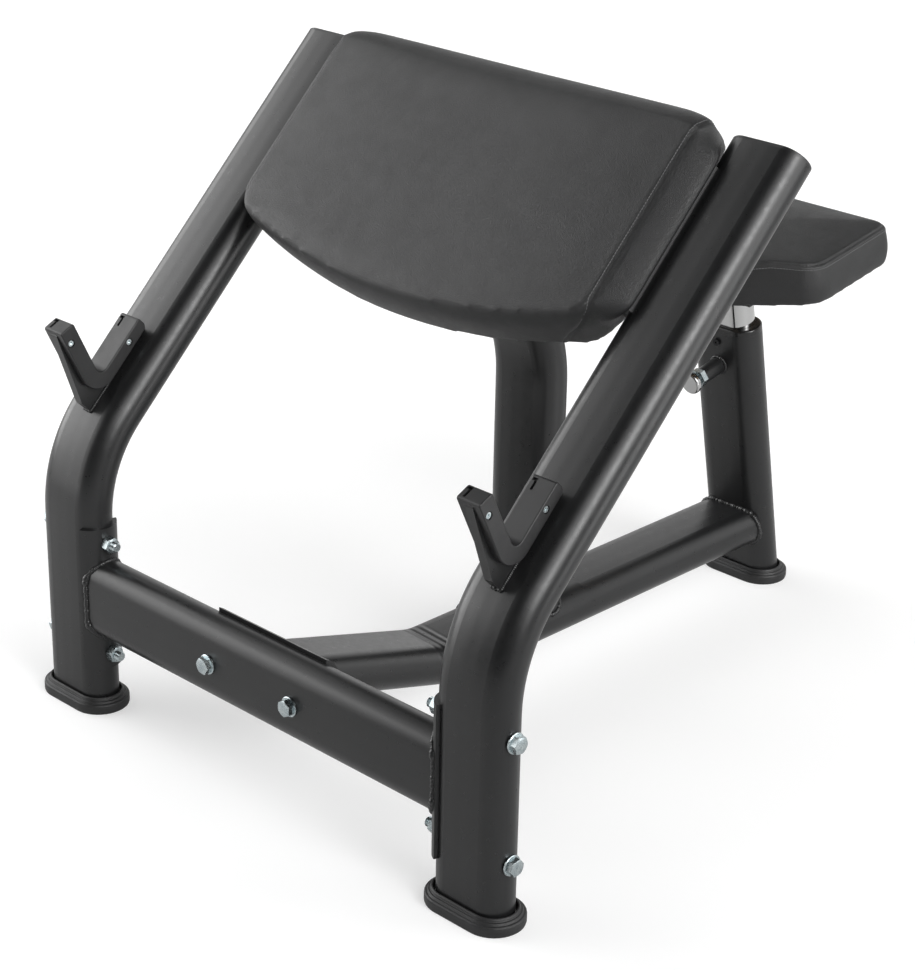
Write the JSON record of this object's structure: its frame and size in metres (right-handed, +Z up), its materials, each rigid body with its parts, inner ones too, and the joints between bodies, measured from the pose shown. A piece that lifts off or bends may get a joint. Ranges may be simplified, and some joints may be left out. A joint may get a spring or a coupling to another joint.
{
  "type": "preacher curl bench",
  "caption": "Free-standing preacher curl bench of flat-oval tube with a sloping padded arm rest, V-shaped bar rests and a pin-locked height-adjustable seat.",
  "frame": {"origin": "on the floor, on the mirror plane, halfway between the front shoes' toes and the back of the seat", "axes": "+X to the right of someone who faces the bench from the bar side, +Y from the bar rests to the seat, +Z up"},
  "size_m": [0.799, 0.9918, 0.7891],
  "materials": {
    "frame_paint": "satin black powder coat with a fine texture",
    "upholstery": "black vinyl with a fine grain, soft sheen",
    "plywood": "bare plywood",
    "shoe_rubber": "matte black",
    "black_plastic": "matte black moulded plastic",
    "zinc": "bright zinc plating",
    "chrome": "polished chrome plating",
    "black_screw": "black oxide"
  },
  "bodies": {
    "frame": {"left_upright": "frame_paint", "right_upright": "frame_paint", "front_crossbeam": "frame_paint", "left_crossbeam_saddle": "frame_paint", "right_crossbeam_saddle": "frame_paint", "spine": "frame_paint", "spine_front_saddle": "frame_paint", "rear_post": "frame_paint", "centre_post": "frame_paint", "centre_post_saddle": "frame_paint", "upper_crossbeam": "frame_paint", "left_upper_saddle": "frame_paint", "right_upper_saddle": "frame_paint", "pad_brackets": "frame_paint", "left_bar_hook": "frame_paint", "right_bar_hook": "frame_paint", "pin_boss": "frame_paint", "arm_pad": "upholstery", "pad_board": "plywood", "left_front_foot": "shoe_rubber", "right_front_foot": "shoe_rubber", "rear_foot": "shoe_rubber", "left_upright_cap": "black_plastic", "right_upright_cap": "black_plastic", "post_collar": "black_plastic", "left_hook_liner": "black_plastic", "right_hook_liner": "black_plastic", "left_saddle_bolts": "zinc", "right_saddle_bolts": "zinc", "saddle_washers": "zinc", "saddle_nuts": "zinc", "spine_bolts": "zinc", "spine_washers": "zinc", "spine_nuts": "zinc", "pin_lock_nut": "zinc", "pad_bolts": "zinc", "left_liner_screws": "zinc", "right_liner_screws": "zinc", "collar_screw": "black_screw"},
    "seat": {"seat_tube": "chrome", "seat_tube_guide": "black_plastic", "seat_plate": "frame_paint", "seat_board": "plywood", "seat_cushion": "upholstery", "seat_screws": "zinc"},
    "pull_pin": {"plunger_pin": "zinc", "pin_knob": "chrome"}
  },
  "joints": [
    {"name": "seat_height", "type": "slide", "parent": "frame", "child": "seat", "axis": [0, -0.1977, 0.9803], "range_m": [0, 0.15]},
    {"name": "pin_pull", "type": "slide", "parent": "frame", "child": "pull_pin", "axis": [0, -0.9803, -0.1977], "range_m": [0, 0.012], "stiffness_N_per_m": 1200, "springref_m": -0.006}
  ]
}
